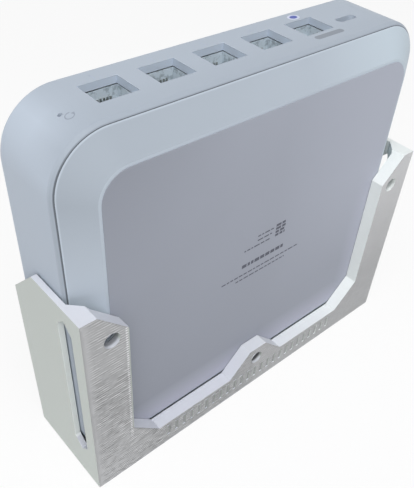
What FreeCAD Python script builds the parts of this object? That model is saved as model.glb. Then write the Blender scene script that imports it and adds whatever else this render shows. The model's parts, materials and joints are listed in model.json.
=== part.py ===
"""Network node standing in a printed wall bracket, as separate named pieces.

All lengths are millimetres. X runs across the node, Y runs from the wall side (minus) to the
room side (plus), and Z is up. The origin is the centre of the bracket's underside.
"""
import FreeCAD
import Part
import math
import os

from FreeCAD import Vector

# ---------------------------------------------------------------- case of the node
case_w = 141.8              # across the port face
case_h = 127.6              # from the bracket's floor to the port face
case_d = 30.5               # wall side to room side
case_corner_r = 17.2        # round corners of the outline
front_edge_r = 1.5          # soft edge round the room-side face
rim_edge_r = 1.6            # soft edge on the wall side, where the cover begins
rim_under = 0.1             # the seam cuts the soft edge off this far above its foot
wall_t = 2.3                # side walls and port wall
front_t = 2.0               # room-side wall

# ---------------------------------------------------------------- bottom cover and its panel
cover_d = 5.4               # how deep the cover is, from the seam to its face
seam_gap = 0.3              # shadow line between shell and cover
bevel_inset = 10.1          # the bevel's foot lies this much inside the case's side
cover_rim_t = 2.4           # cover's rim, across the seam
cover_floor_t = 2.0
panel_corner_r = 9.0
panel_t = 0.8
panel_proud = 0.15          # panel stands this much out of the bevel's crest
panel_gap = 0.15            # round the panel's edge
crest_w = 0.3               # flat crest between bevel and panel
tongue_t = 1.2
tongue_len = 2.0            # how far the cover's tongue reaches into the shell
tongue_gap = 0.2
tongue_root = 0.6           # tongue's root below the cover's rim
crest_round = 0.6           # soft turn between the bevel and the crest
crest_bend = 0.4            # corner radius gained over that turn
crest_drop = 0.12           # how far the bevel falls over that turn
cover_slope = 6.2           # how far the cover's inner walls lean in
cover_bend = 5.2            # inner corner radius lost on the way

# ---------------------------------------------------------------- wall bracket
plate_t = 5.0               # plate that goes against the wall
side_t = 1.9
floor_t = 2.0
lip_t = 1.2                 # room-side lip
plate_gap = 0.3             # cover's crest to plate
lip_gap = 0.4               # node to lip
side_gap = 0.4              # node to side walls
fillet_gap = 1.7            # cover's edge to the pocket's corner fillets
arm_h = 81.2
arm_far_chamfer = 12.7
arm_w = 15.3                # each arm of the plate
window_low_chamfer = 10.6
window_top_chamfer = 9.8
strip_h = 11.3              # low strip of the plate
hump_h = 20.7               # raised centre of the strip, for the middle screw
hump_half_top = 4.2
lip_h = 7.0
lip_side_w = 6.0
lip_low_chamfer = 11.0
screw_hole_r = 2.75         # holes for the wall screws
screw_sink_r = 5.2          # countersink on the pocket side
arm_screw_edge = 9.55       # arm's screw hole to the bracket's side
arm_screw_drop = 11.5       # arm's screw hole below the arm's top
mid_screw_drop = 5.75       # middle screw hole below the hump's top
relief_edge = 8.85          # centre line of the relief slots, from the wall
relief_half_w = 3.6
relief_low_z = 17.6
relief_drop = 8.3           # relief slot's upper corners below the arm's top
groove_pitch = 3.6          # plain grip grooves along the low strip
groove_w = 1.4
groove_depth = 0.5
groove_low_z = 3.8
groove_high_z = 9.2

# ---------------------------------------------------------------- port face
port_count = 5
port_pitch = 18.45
row_shift = -7.8            # middle of the row of sockets, from the case's middle
port_w = 11.9
port_low = 1.2              # heights above the board
port_high = 11.4
usb_step = 15.2             # last socket to the power inlet
usb_height = 4.2            # centre above the board
usb_w = 9.0                 # receptacle shell
usb_h = 3.2
usb_len = 7.4
usb_open_w = 8.6            # opening in the port wall, in front of the receptacle
usb_open_h = 2.8
usb_wall_t = 0.3
usb_face_gap = 0.3          # receptacle's face to the port wall
usb_foot_edge = 1.8         # mounting foot to the receptacle's side
usb_foot_w = 0.4
usb_foot_len = 3.0
usb_foot_back = 1.0         # foot to the receptacle's back
usb_plug_len = 2.0          # solid part of the insulator
usb_tongue_w = 6.7
usb_tongue_t = 0.7
usb_tongue_back = 0.8       # tongue's tip behind the receptacle's face
usb_riser_w = 4.0
usb_riser_len = 3.6
usb_tail_t = 0.8
reset_step = 15.5           # first socket to the reset pinhole
reset_height = 3.5          # centre above the board
pinhole_r = 0.6

# ---------------------------------------------------------------- main board
board_t = 1.6
board_height = 12.3         # component side, from the cover's face
board_gap = 1.0             # board edge to the shell's walls
board_low_gap = 26.0        # board's lower edge above the case's underside
board_high_gap = 1.3        # board edge to the port wall
jack_face_gap = 0.3         # jack face to the port wall

# ---------------------------------------------------------------- jacks
jack_w = 16.0
jack_h = 13.3
jack_len = 21.0
shield_t = 0.25
mouth_clear = 0.1           # shield's opening round the housing's nose
mouth_w = 11.8
mouth_low = 4.5             # plug cavity, above the latch channel; heights above the board
mouth_high = 11.3
mouth_depth = 14.0
latch_wide_w = 6.4
latch_mid = 2.9
latch_narrow_w = 3.6
latch_low = 1.5
contact_count = 8
contact_pitch = 1.02
contact_w = 0.45
contact_t = 0.3
contact_root = 2.2          # contact's root below the cavity's roof
contact_tip = 0.35          # contact's free end below the roof
contact_tip_in = 2.6        # free end, behind the jack's face
contact_bed = 3.0           # root's length in the housing
contact_show = 0.5          # straight part in front of the cavity's back wall
coil_w = 14.0               # line transformer behind each jack
coil_h = 5.6
coil_len = 10.0
coil_gap = 3.0
coil_chamfer = 0.5

# ---------------------------------------------------------------- screws and posts
case_screw_edge = 14.9      # case screw to the case's side
case_screw_low = 15.0       # lower case screws above the case's underside
case_screw_drop = 37.6      # upper case screws below the port face
case_boss_r = 3.5
boss_reach = 0.5            # where cover boss and shell boss meet, from the seam
case_screw_r = 1.45
case_head_r = 2.75
case_head_t = 1.8
case_screw_len = 13.0
case_pilot_len = 12.0
case_head_sink = 0.3        # screw head below the panel
case_head_gap = 0.2         # round the screw head
well_t = 0.8                # cover's well round the shell's boss
board_screw_edge = 8.4      # board screw to the case's side
board_screw_low = 6.0       # lower board screws above the board's lower edge
board_screw_drop = 21.6     # upper board screws below the port face
board_post_r = 3.2
board_screw_r = 1.2
board_head_r = 2.3
board_head_t = 1.4
board_screw_len = 6.0       # in the post
board_pilot_len = 8.0
pilot_gap = 0.05            # screw to its pilot hole
clear_gap = 0.4             # screw or boss to a clearance hole
drive_reach = 0.55          # cross recess, as a share of the head's radius
drive_w = 0.5
past = 1.0                  # how far a cutting shape runs past the face it opens

# ---------------------------------------------------------------- cooling
sink_half_w = 45.0
sink_low_gap = 18.0         # heat sink above the board's lower edge
sink_high_gap = 5.0         # heat sink below the line transformers
sink_base_t = 2.0
sink_fin_h = 4.4
sink_fin_t = 1.2
sink_fin_pitch = 5.0
pad_t = 0.5
pad_inset = 1.0             # pad's edge inside the chip's edge
sink_pin_r = 1.5
sink_pin_edge = 4.5         # pin to the heat sink's edges
sink_well_r = 3.4           # fins cleared away round a pin
pin_head_r = 3.0
pin_head_t = 1.2
barb_out = 0.6              # barb's shoulder beyond the stem
barb_in = 0.5               # barb's tip inside the stem's radius
barb_len = 2.2

# ---------------------------------------------------------------- chips
# Sizes are width, height and thickness. Steps are from the middle of the heat sink.
cpu_size = (15.0, 15.0, 1.2)
cpu_step = (-14.0, -1.0)
switch_size = (13.0, 13.0, 1.2)
switch_step = (18.0, 3.0)
chip_dot_r = 0.35           # first-pin dot
chip_dot_edge = 1.0
chip_dot_depth = 0.1
memory_size = (8.0, 12.5, 1.0)
memory_steps = ((-31.0, -7.5), (-31.0, 7.5))
flash_size = (11.5, 13.0, 1.0)
flash_step = (0.0, -11.0)
crystal_size = (3.2, 2.5, 0.8)
crystal_step = (2.0, 9.0)
radio_size = (9.0, 9.0, 0.9)
radio_x = -38.0
radio_rise = 6.0            # radio chip above the board's lower edge
power_size = (5.0, 5.0, 0.9)
power_x = 50.0
power_drop = 29.6           # power chip below the port face
radio_can_size = (22.0, 10.5, 2.6)
can_t = 0.2
lid_skirt = 1.4             # how far the can's lid reaches down its frame

# ---------------------------------------------------------------- power parts and antennas
inductor_size = (6.6, 6.6, 3.0)
inductor_xs = (46.5, 54.5)
inductor_drop = 8.0         # inductors below the upper case screws
inductor_chamfer = 0.4
capacitor_r = 3.15
capacitor_h = 5.8
capacitor_base_t = 0.8
capacitor_xs = (46.0, 54.0, 62.0)
antenna_x = 40.0
antenna_w = 22.0
antenna_h = 6.5             # stands this high off the board
antenna_run = 5.0
antenna_t = 0.4
antenna_leg_w = 2.0
antenna_rise = 1.0          # antenna above the board's lower edge
notch_w = 1.2
notch_len = 3.2

# ---------------------------------------------------------------- reset switch
switch_body_w = 6.0
switch_body_h = 5.2
switch_body_len = 3.6
switch_to_wall = 4.0        # switch body's face to the port wall
plunger_w = 2.6
plunger_h = 1.6
plunger_out = 1.6           # how far the plunger stands out of the switch
plunger_in = 1.2
plunger_gap = 0.06
plunger_travel = 0.25
plunger_spare = 0.15        # room left below the plunger at full travel
plunger_chamfer = 0.2
same_place = 0.01           # two faces closer than this lie in one plane

# ---------------------------------------------------------------- places worked out from the above
case_half_w = case_w / 2
pocket_half_w = case_half_w + side_gap
bracket_half_w = pocket_half_w + side_t
window_half_w = bracket_half_w - arm_w
bracket_d = plate_t + plate_gap + case_d + lip_gap + lip_t
near_y = -bracket_d / 2
far_y = bracket_d / 2
plate_in_y = near_y + plate_t
lip_in_y = far_y - lip_t
cover_y = plate_in_y + plate_gap
seam_y = cover_y + cover_d
shell_y = seam_y
front_y = cover_y + case_d
front_in_y = front_y - front_t
case_low_z = floor_t
case_high_z = floor_t + case_h
port_in_z = case_high_z - wall_t
arm_screw_x = bracket_half_w - arm_screw_edge
relief_y = near_y + relief_edge
relief_high_z = arm_h - relief_drop
cover_top_y = seam_y - seam_gap / 2
rim_in = rim_edge_r - math.sqrt(rim_edge_r ** 2 - (rim_edge_r - rim_under) ** 2)
recess_y = cover_y - panel_proud + panel_t
cover_in_y = cover_y + cover_floor_t
first_port_x = row_shift - (port_count - 1) * port_pitch / 2
board_top_y = cover_y + board_height
board_low_y = board_top_y - board_t
board_low_z = case_low_z + board_low_gap
board_high_z = port_in_z - board_high_gap
usb_x = first_port_x + (port_count - 1) * port_pitch + usb_step
usb_y = board_top_y + usb_height
reset_x = first_port_x - reset_step
reset_y = board_top_y + reset_height
jack_face_z = port_in_z - jack_face_gap
jack_back_z = jack_face_z - jack_len
coil_high_z = jack_back_z - coil_gap
mouth_low_y = board_top_y + mouth_low
mouth_high_y = board_top_y + mouth_high
boss_meet_y = seam_y + boss_reach
board_screw_low_z = board_low_z + board_screw_low
board_screw_high_z = case_high_z - board_screw_drop
board_screw_mid_z = (board_screw_low_z + board_screw_high_z) / 2
case_screw_high_z = case_high_z - case_screw_drop
capacitor_z = (board_screw_low_z + board_screw_mid_z) / 2
sink_low_z = board_low_z + sink_low_gap
sink_high_z = coil_high_z - coil_len - sink_high_gap
sink_mid_z = (sink_low_z + sink_high_z) / 2


# ---------------------------------------------------------------- helpers
def block(x0, x1, y0, y1, z0, z1):
    """Box between two corners."""
    return Part.makeBox(x1 - x0, y1 - y0, z1 - z0, Vector(x0, y0, z0))


def slab_at(x, z, width, height, y0, y1):
    """Box centred on (x, z), between two heights off the wall."""
    return block(x - width / 2, x + width / 2, y0, y1, z - height / 2, z + height / 2)


def rod_y(radius, x, z, y0, y1):
    """Cylinder along Y."""
    return Part.makeCylinder(radius, y1 - y0, Vector(x, y0, z), Vector(0, 1, 0))


def cone_y(r0, r1, x, z, y0, y1):
    """Cone along Y, radius r0 at y0 and r1 at y1."""
    return Part.makeCone(r0, r1, y1 - y0, Vector(x, y0, z), Vector(0, 1, 0))


def plate_xz(points, y0, y1):
    """Prism along Y from a polygon of (x, z) points."""
    corners = [Vector(x, y0, z) for x, z in points]
    outline = Part.makePolygon(corners + corners[:1])
    return Part.Face(outline).extrude(Vector(0, y1 - y0, 0))


def plate_yz(points, x0, x1):
    """Prism along X from a polygon of (y, z) points."""
    corners = [Vector(x0, y, z) for y, z in points]
    outline = Part.makePolygon(corners + corners[:1])
    return Part.Face(outline).extrude(Vector(x1 - x0, 0, 0))


def plate_xy(points, z0, z1):
    """Prism along Z from a polygon of (x, y) points."""
    corners = [Vector(x, y, z0) for x, y in points]
    outline = Part.makePolygon(corners + corners[:1])
    return Part.Face(outline).extrude(Vector(0, 0, z1 - z0))


def round_outline(inset, radius, y):
    """The case's outline at height y, moved in by inset, with round corners."""
    half_w = case_half_w - inset
    low = case_low_z + inset
    high = case_high_z - inset
    bend = radius * (1 - math.sqrt(0.5))
    edges = []
    corners = (
        (half_w, low, -1, 1),
        (half_w, high, -1, -1),
        (-half_w, high, 1, -1),
        (-half_w, low, 1, 1),
    )
    arcs = []
    for index, (x, z, to_x, to_z) in enumerate(corners):
        along_x = Vector(x + to_x * radius, y, z)
        along_z = Vector(x, y, z + to_z * radius)
        middle = Vector(x + to_x * bend, y, z + to_z * bend)
        ends = (along_x, along_z) if index % 2 == 0 else (along_z, along_x)
        arcs.append((ends[0], middle, ends[1]))
    for index, (start, middle, end) in enumerate(arcs):
        edges.append(Part.Arc(start, middle, end).toShape())
        edges.append(Part.LineSegment(end, arcs[(index + 1) % 4][0]).toShape())
    return Part.Wire(edges)


def round_slab(inset, radius, y0, y1):
    """Slab with the case's round outline, moved in by inset."""
    return Part.Face(round_outline(inset, radius, y0)).extrude(Vector(0, y1 - y0, 0))


def dome(sections):
    """Solid through several outlines, each given as (inset, radius, y)."""
    wires = [round_outline(inset, radius, y) for inset, radius, y in sections]
    return Part.makeLoft(wires, True, True)


def chip(size, at):
    """Flat chip on the board's wall side."""
    width, height, thick = size
    x, z = at
    low_y = board_low_y - thick
    body = slab_at(x, z, width, height, low_y, board_low_y)
    dot_x = x - width / 2 + chip_dot_edge
    dot_z = z + height / 2 - chip_dot_edge
    return body.cut(rod_y(chip_dot_r, dot_x, dot_z, low_y, low_y + chip_dot_depth))


def stadium(x, y, width, height, z0, z1):
    """Prism along Z with round ends, as a USB-C opening has."""
    radius = height / 2
    reach = width / 2 - radius
    middle = block(x - reach, x + reach, y - radius, y + radius, z0, z1)
    left = Part.makeCylinder(radius, z1 - z0, Vector(x - reach, y, z0))
    right = Part.makeCylinder(radius, z1 - z0, Vector(x + reach, y, z0))
    return middle.fuse([left, right]).removeSplitter()


def inner_wall_z(x):
    """Height of the port wall's inner face at x, lower where the corners turn down."""
    bend_r = case_corner_r - wall_t
    over = abs(x) - (case_half_w - case_corner_r)
    if over <= 0:
        return port_in_z
    return port_in_z - bend_r + math.sqrt(bend_r ** 2 - over ** 2)


def by_sink(step):
    """(x, z) of a chip, from its step off the heat sink's middle."""
    return step[0], sink_mid_z + step[1]


def port_x(index):
    """Centre of a port, counted from the reset button's side."""
    return first_port_x + index * port_pitch


def case_screw_places():
    """(x, z) of each case screw."""
    x = case_half_w - case_screw_edge
    heights = (case_low_z + case_screw_low, case_screw_high_z)
    return [(side * x, z) for side in (-1, 1) for z in heights]


def board_screw_places():
    """(x, z) of each board screw."""
    x = case_half_w - board_screw_edge
    heights = (board_screw_low_z, board_screw_mid_z, board_screw_high_z)
    return [(side * x, z) for side in (-1, 1) for z in heights]


def save(name, shape):
    """Write one node."""
    shape.exportStep("parts/" + name + ".step")
    print(name, len(shape.Solids), "solids", round(shape.Volume, 2), "mm3", shape.isValid())


# ---------------------------------------------------------------- wall bracket
def plate_outline():
    """The wall plate: two arms, a low strip and the hump for the middle screw."""
    low = window_half_w - window_low_chamfer
    top = window_half_w + window_top_chamfer
    hump_base = hump_half_top + hump_h - strip_h
    right = [
        (hump_half_top, hump_h),
        (hump_base, strip_h),
        (low, strip_h),
        (window_half_w, strip_h + window_low_chamfer),
        (window_half_w, arm_h - window_top_chamfer),
        (top, arm_h),
    ]
    left = [(-x, z) for x, z in reversed(right)]
    outer = [(bracket_half_w, arm_h), (bracket_half_w, 0.0), (-bracket_half_w, 0.0), (-bracket_half_w, arm_h)]
    return left + right + outer


def lip_outline():
    """The room-side lip, a low frame that keeps the node in."""
    high = arm_h - arm_far_chamfer
    inner = pocket_half_w - lip_side_w
    right = [
        (inner - lip_low_chamfer, lip_h),
        (inner, lip_h + lip_low_chamfer),
        (inner, high - lip_side_w),
        (pocket_half_w, high),
    ]
    left = [(-x, z) for x, z in reversed(right)]
    outer = [(bracket_half_w, high), (bracket_half_w, 0.0), (-bracket_half_w, 0.0), (-bracket_half_w, high)]
    return left + right + outer


def side_wall(side):
    """One side wall, with its far top corner cut off at 45 degrees."""
    profile = [
        (near_y, 0.0),
        (far_y, 0.0),
        (far_y, arm_h - arm_far_chamfer),
        (far_y - arm_far_chamfer, arm_h),
        (near_y, arm_h),
    ]
    inner = side * pocket_half_w
    outer = side * bracket_half_w
    return plate_yz(profile, min(inner, outer), max(inner, outer))


def corner_fillet(side):
    """Slanted fillet in the pocket's corner, clear of the cover's edge."""
    reach = pocket_half_w - plate_in_y
    reach -= case_half_w - rim_in - cover_top_y + fillet_gap * math.sqrt(2)
    corner = side * pocket_half_w
    points = [
        (corner, plate_in_y),
        (corner, plate_in_y + reach),
        (corner - side * reach, plate_in_y),
    ]
    return plate_xy(points, floor_t, arm_h).common(plate_xz(plate_outline(), near_y, far_y))


def relief_slot(side):
    """Long slot with pointed ends that lets the side wall spring."""
    profile = [
        (relief_y - relief_half_w, relief_low_z),
        (relief_y, relief_low_z - relief_half_w),
        (relief_y + relief_half_w, relief_low_z),
        (relief_y + relief_half_w, relief_high_z),
        (relief_y, relief_high_z + relief_half_w),
        (relief_y - relief_half_w, relief_high_z),
    ]
    start = side * (pocket_half_w - case_corner_r / 2)
    end = side * (bracket_half_w + past)
    return plate_yz(profile, min(start, end), max(start, end)).cut(
        block(-window_half_w, window_half_w, near_y, plate_in_y, 0.0, arm_h))


def wall_screw_hole(x, z):
    """Through hole with its countersink on the pocket side."""
    hole = rod_y(screw_hole_r, x, z, near_y - past, plate_in_y + past)
    sink_depth = screw_sink_r - screw_hole_r
    sink = cone_y(screw_hole_r, screw_sink_r, x, z, plate_in_y - sink_depth, plate_in_y)
    sink_room = rod_y(screw_sink_r, x, z, plate_in_y, plate_in_y + screw_sink_r)
    return hole.fuse([sink, sink_room])


def grip_grooves():
    """Plain grooves along the low strip."""
    grooves = []
    strip_half_w = window_half_w - window_low_chamfer
    count = int(2 * strip_half_w / groove_pitch) - 1
    start = -(count - 1) * groove_pitch / 2
    for index in range(count):
        x = start + index * groove_pitch
        grooves.append(block(x - groove_w / 2, x + groove_w / 2, near_y - past, near_y + groove_depth,
                             groove_low_z, groove_high_z))
    return grooves


def make_wall_bracket():
    """The printed bracket, one piece."""
    plate = plate_xz(plate_outline(), near_y, plate_in_y)
    lip = plate_xz(lip_outline(), lip_in_y, far_y)
    floor = block(-bracket_half_w, bracket_half_w, near_y, far_y, 0.0, floor_t)
    pieces = [lip, floor]
    for side in (-1, 1):
        pieces.append(side_wall(side))
        pieces.append(corner_fillet(side))
    body = plate.fuse(pieces).removeSplitter()
    cuts = [relief_slot(-1), relief_slot(1)]
    for side in (-1, 1):
        cuts.append(wall_screw_hole(side * arm_screw_x, arm_h - arm_screw_drop))
    cuts.append(wall_screw_hole(0.0, hump_h - mid_screw_drop))
    return body.cut(cuts + grip_grooves())


# ---------------------------------------------------------------- case
def port_cuts():
    """Openings in the port wall."""
    low = port_in_z - past
    high = case_high_z + past
    cuts = []
    for index in range(port_count):
        x = port_x(index)
        cuts.append(block(x - port_w / 2, x + port_w / 2, board_top_y + port_low, board_top_y + port_high,
                          low, high))
    cuts.append(stadium(usb_x, usb_y, usb_open_w, usb_open_h, low, high))
    pin_low = inner_wall_z(abs(reset_x) + pinhole_r) - past
    cuts.append(Part.makeCylinder(pinhole_r, high - pin_low, Vector(reset_x, reset_y, pin_low)))
    return cuts


def make_main_shell():
    """The shell: room-side face, side walls and port wall, with posts and bosses inside."""
    foot_y = shell_y - rim_under
    outer = round_slab(0.0, case_corner_r, foot_y, front_y)
    rim = [edge for edge in outer.Edges if edge.BoundBox.YMin > front_y - same_place]
    outer = outer.makeFillet(front_edge_r, rim)
    foot = [edge for edge in outer.Edges if edge.BoundBox.YMax < foot_y + same_place]
    outer = outer.makeFillet(rim_edge_r, foot)
    outer = outer.cut(round_slab(-past, case_corner_r, foot_y - past, shell_y))
    inner = round_slab(wall_t, case_corner_r - wall_t, shell_y - past, front_in_y)
    shell = outer.cut(inner)
    posts = []
    for x, z in case_screw_places():
        boss = rod_y(case_boss_r, x, z, boss_meet_y, front_in_y)
        posts.append(boss.cut(rod_y(case_screw_r + pilot_gap, x, z, boss_meet_y,
                                    boss_meet_y + case_pilot_len)))
    for x, z in board_screw_places():
        post = rod_y(board_post_r, x, z, board_top_y, front_in_y)
        posts.append(post.cut(rod_y(board_screw_r + pilot_gap, x, z, board_top_y,
                                    board_top_y + board_pilot_len)))
    return shell.fuse(posts).cut(port_cuts())


def make_bottom_cover():
    """The bevelled cover on the wall side, with its tongue, screw wells and panel recess."""
    crest = bevel_inset
    outer = dome([
        (rim_in, case_corner_r - rim_in, cover_top_y),
        (crest - crest_round, panel_corner_r + crest_bend, cover_y + crest_drop),
        (crest, panel_corner_r, cover_y),
    ])
    hollow_in = rim_in + cover_rim_t
    hollow = dome([
        (hollow_in, case_corner_r - hollow_in, cover_top_y),
        (hollow_in + cover_slope, case_corner_r - hollow_in - cover_bend, cover_in_y),
    ])
    recess = round_slab(crest + crest_w, panel_corner_r - crest_w, cover_y - past, recess_y)
    cover = outer.cut([hollow, recess])
    tongue_out = wall_t + tongue_gap
    tongue_in = tongue_out + tongue_t
    tongue_y = seam_y + tongue_len
    root_y = cover_top_y - tongue_root
    tongue = round_slab(tongue_out, case_corner_r - tongue_out, root_y, tongue_y)
    tongue = tongue.cut(round_slab(tongue_in, case_corner_r - tongue_in, root_y, tongue_y))
    wells = []
    holes = []
    for x, z in case_screw_places():
        wells.append(rod_y(case_boss_r + well_t, x, z, recess_y, boss_meet_y))
        holes.append(rod_y(case_head_r + case_head_gap, x, z, recess_y - past,
                           recess_y + case_head_sink + case_head_t))
        holes.append(rod_y(case_screw_r + clear_gap, x, z, recess_y, boss_meet_y + past))
    return cover.fuse([tongue] + wells).cut(holes)


def make_base_panel():
    """Thin soft panel glued into the cover; it hides the case screws."""
    inset = bevel_inset + crest_w + panel_gap
    return round_slab(inset, panel_corner_r - crest_w - panel_gap, cover_y - panel_proud, recess_y)


def screw_y(x, z, head_y, radius, head_r, head_t, length):
    """Pan head screw whose head lies at head_y and whose shank points to the room side."""
    head = rod_y(head_r, x, z, head_y, head_y + head_t)
    shank = rod_y(radius, x, z, head_y + head_t, head_y + head_t + length)
    reach = 2 * drive_reach * head_r
    slot_a = slab_at(x, z, reach, drive_w, head_y, head_y + head_t / 2)
    slot_b = slab_at(x, z, drive_w, reach, head_y, head_y + head_t / 2)
    return head.fuse(shank).cut([slot_a, slot_b])


def make_case_screws():
    """Four screws that hold the cover on the shell."""
    head_y = recess_y + case_head_sink
    screws = [screw_y(x, z, head_y, case_screw_r, case_head_r, case_head_t, case_screw_len)
              for x, z in case_screw_places()]
    return Part.makeCompound(screws)


def make_board_screws():
    """Screws that hold the main board on the shell's posts."""
    head_y = board_low_y - board_head_t
    length = board_t + board_screw_len
    screws = [screw_y(x, z, head_y, board_screw_r, board_head_r, board_head_t, length)
              for x, z in board_screw_places()]
    return Part.makeCompound(screws)


# ---------------------------------------------------------------- main board
def make_main_board():
    """The printed circuit board, with its screw holes and clearance for the case bosses."""
    inset = wall_t + board_gap
    full = round_slab(inset, case_corner_r - inset, board_low_y, board_top_y)
    keep = block(-case_w, case_w, board_low_y, board_top_y, board_low_z, board_high_z)
    board = full.common(keep)
    holes = []
    for x, z in case_screw_places():
        holes.append(rod_y(case_boss_r + clear_gap, x, z, board_low_y - past, board_top_y + past))
    for x, z in board_screw_places():
        holes.append(rod_y(board_screw_r + clear_gap / 2, x, z, board_low_y - past, board_top_y + past))
    for x, z in sink_pin_places():
        holes.append(rod_y(sink_pin_r + pilot_gap, x, z, board_low_y - past, board_top_y + past))
    return board.cut(holes)


def make_memory(index):
    """One memory chip."""
    return chip(memory_size, by_sink(memory_steps[index]))


def radio_place():
    """(x, z) of the radio chip and its can."""
    return radio_x, board_low_z + radio_rise


def make_radio_frame():
    """Solder frame of the radio's shield can."""
    width, height, depth = radio_can_size
    x, z = radio_place()
    low_y = board_low_y - depth
    outer = slab_at(x, z, width, height, low_y, board_low_y)
    inner = slab_at(x, z, width - 2 * can_t, height - 2 * can_t, low_y, board_low_y)
    return outer.cut(inner)


def make_radio_lid():
    """Lid of the radio's shield can, snapped over the frame."""
    width, height, depth = radio_can_size
    x, z = radio_place()
    inner_w = width + 2 * pilot_gap
    inner_h = height + 2 * pilot_gap
    top_y = board_low_y - depth
    skirt_y = top_y + lid_skirt
    outer = slab_at(x, z, inner_w + 2 * can_t, inner_h + 2 * can_t, top_y - can_t, skirt_y)
    return outer.cut(slab_at(x, z, inner_w, inner_h, top_y, skirt_y))


# ---------------------------------------------------------------- cooling
def sink_pin_places():
    """(x, z) of the two pins that hold the heat sink."""
    x = sink_half_w - sink_pin_edge
    return [(-x, sink_high_z - sink_pin_edge), (x, sink_low_z + sink_pin_edge)]


def sink_face_y():
    """Face of the heat sink that the thermal pads touch."""
    return board_low_y - cpu_size[2] - pad_t


def make_heat_sink():
    """Finned aluminium heat sink over the processor and the switch chip."""
    face_y = sink_face_y()
    base_y = face_y - sink_base_t
    sink = block(-sink_half_w, sink_half_w, base_y, face_y, sink_low_z, sink_high_z)
    fin_count = int((2 * sink_half_w - sink_fin_t) / sink_fin_pitch) + 1
    start = -(fin_count - 1) * sink_fin_pitch / 2
    fins = []
    for index in range(fin_count):
        x = start + index * sink_fin_pitch
        fins.append(block(x - sink_fin_t / 2, x + sink_fin_t / 2, base_y - sink_fin_h, base_y,
                          sink_low_z, sink_high_z))
    sink = sink.fuse(fins)
    cuts = []
    for x, z in sink_pin_places():
        low_y = base_y - sink_fin_h - past
        cuts.append(rod_y(sink_pin_r + clear_gap, x, z, low_y, face_y + past))
        cuts.append(rod_y(sink_well_r, x, z, low_y, base_y))
    return sink.cut(cuts)


def make_sink_pins():
    """Push pins through the heat sink and the board."""
    base_y = sink_face_y() - sink_base_t
    pins = []
    for x, z in sink_pin_places():
        head = rod_y(pin_head_r, x, z, base_y - pin_head_t, base_y)
        stem = rod_y(sink_pin_r, x, z, base_y, board_top_y)
        barb = cone_y(sink_pin_r + barb_out, sink_pin_r - barb_in, x, z, board_top_y,
                      board_top_y + barb_len)
        pins.append(head.fuse([stem, barb]))
    return Part.makeCompound(pins)


def make_pad(size, at):
    """Thermal pad on a chip."""
    width, height, thick = size
    x, z = at
    low_y = board_low_y - thick - pad_t
    return slab_at(x, z, width - 2 * pad_inset, height - 2 * pad_inset, low_y, low_y + pad_t)


# ---------------------------------------------------------------- jacks
def nose_block(x, z0, z1):
    """Block that fills the opening in a jack's shield, between two heights."""
    half_w = mouth_w / 2 + mouth_clear
    return block(x - half_w, x + half_w, board_top_y, mouth_high_y + mouth_clear, z0, z1)


def make_jack_shield(index):
    """Folded metal can round a jack, open at the mouth and underneath."""
    x = port_x(index)
    top_y = board_top_y + jack_h
    outer = block(x - jack_w / 2, x + jack_w / 2, board_top_y, top_y, jack_back_z, jack_face_z)
    inner = block(x - jack_w / 2 + shield_t, x + jack_w / 2 - shield_t, board_top_y, top_y - shield_t,
                  jack_back_z + shield_t, jack_face_z - shield_t)
    return outer.cut([inner, nose_block(x, jack_face_z - past, jack_face_z + past)])


def mouth_cavity(x):
    """The plug's space: a wide cavity and a stepped channel for the latch."""
    low_z = jack_face_z - mouth_depth
    high_z = jack_face_z + past
    wide = block(x - mouth_w / 2, x + mouth_w / 2, mouth_low_y, mouth_high_y, low_z, high_z)
    step_y = board_top_y + latch_mid
    low_y = board_top_y + latch_low
    middle = block(x - latch_wide_w / 2, x + latch_wide_w / 2, step_y, mouth_low_y, low_z, high_z)
    narrow = block(x - latch_narrow_w / 2, x + latch_narrow_w / 2, low_y, step_y, low_z, high_z)
    return wide.fuse([middle, narrow]).removeSplitter()


def contact_profile():
    """(y, z) outline of one spring contact, from its root to its free end."""
    root_z = jack_face_z - mouth_depth
    root_y = mouth_high_y - contact_root
    tip_y = mouth_high_y - contact_tip
    tip_z = jack_face_z - contact_tip_in
    return [
        (root_y, root_z - contact_bed),
        (root_y, root_z + contact_show),
        (tip_y, tip_z),
        (tip_y + contact_t, tip_z),
        (root_y + contact_t, root_z + contact_show),
        (root_y + contact_t, root_z - contact_bed),
    ]


def contact_xs(index):
    """Centres of the eight contacts of one jack."""
    start = port_x(index) - (contact_count - 1) * contact_pitch / 2
    return [start + number * contact_pitch for number in range(contact_count)]


def contact_blades(index):
    """The eight bent blades of one jack."""
    profile = contact_profile()
    return [plate_yz(profile, x - contact_w / 2, x + contact_w / 2) for x in contact_xs(index)]


def make_jack_contacts(index):
    """Eight gilt spring contacts."""
    return Part.makeCompound(contact_blades(index))


def make_jack_housing(index):
    """Moulded housing of one jack, with slots that hold the contacts' roots."""
    x = port_x(index)
    side = jack_w / 2 - shield_t
    body = block(x - side, x + side, board_top_y, board_top_y + jack_h - shield_t,
                 jack_back_z + shield_t, jack_face_z - shield_t)
    nose = nose_block(x, jack_face_z - shield_t, jack_face_z)
    return body.fuse(nose).cut([mouth_cavity(x)] + contact_blades(index))


def make_line_coil(index):
    """Line transformer behind a jack, a moulded block with a rounded top."""
    x = port_x(index)
    body = block(x - coil_w / 2, x + coil_w / 2, board_top_y, board_top_y + coil_h,
                 coil_high_z - coil_len, coil_high_z)
    top = [edge for edge in body.Edges if edge.BoundBox.YMin > board_top_y + coil_h - same_place]
    return body.makeChamfer(coil_chamfer, top)


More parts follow.
